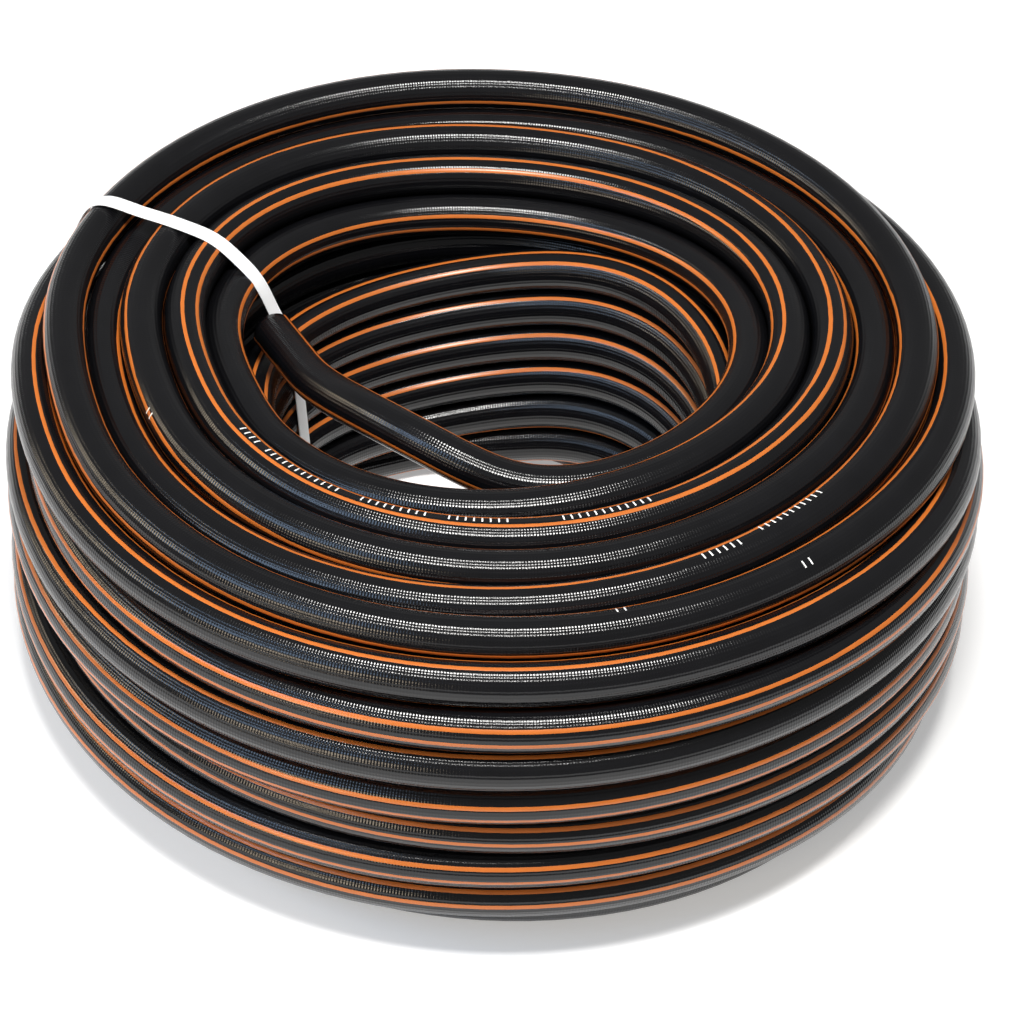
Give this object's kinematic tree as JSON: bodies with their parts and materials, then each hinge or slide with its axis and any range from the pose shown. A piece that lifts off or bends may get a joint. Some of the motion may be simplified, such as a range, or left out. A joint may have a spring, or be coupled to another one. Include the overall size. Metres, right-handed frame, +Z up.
{
  "type": "coiled garden hose",
  "caption": "Yarn-reinforced garden hose with coloured stripes, wound into a tight coil and bound with one plastic strap.",
  "frame": {"origin": "on the ground under the centre of the coil", "axes": "+Z up along the coil's axis, +Y towards the back of the coil, where its hole lies off centre"},
  "size_m": [0.544, 0.544, 0.2078],
  "materials": {
    "hose_jacket": "glossy black soft PVC over a braid that shows through as a fine diamond relief",
    "hose_stripe": "glossy orange soft PVC, flush with the jacket",
    "hose_braid": "off-white braided polyester yarn",
    "hose_liner": "smooth black soft PVC",
    "strap": "satin white polypropylene strapping"
  },
  "bodies": {
    "root": {"hose_winding": "hose_jacket", "hidden_turns": "hose_jacket", "lead_jacket": "hose_jacket", "lead_stripes": "hose_stripe", "lead_braid": "hose_braid", "lead_liner": "hose_liner", "tail_jacket": "hose_jacket", "tail_stripes": "hose_stripe", "tail_braid": "hose_braid", "tail_liner": "hose_liner", "strap": "strap"}
  },
  "joints": []
}
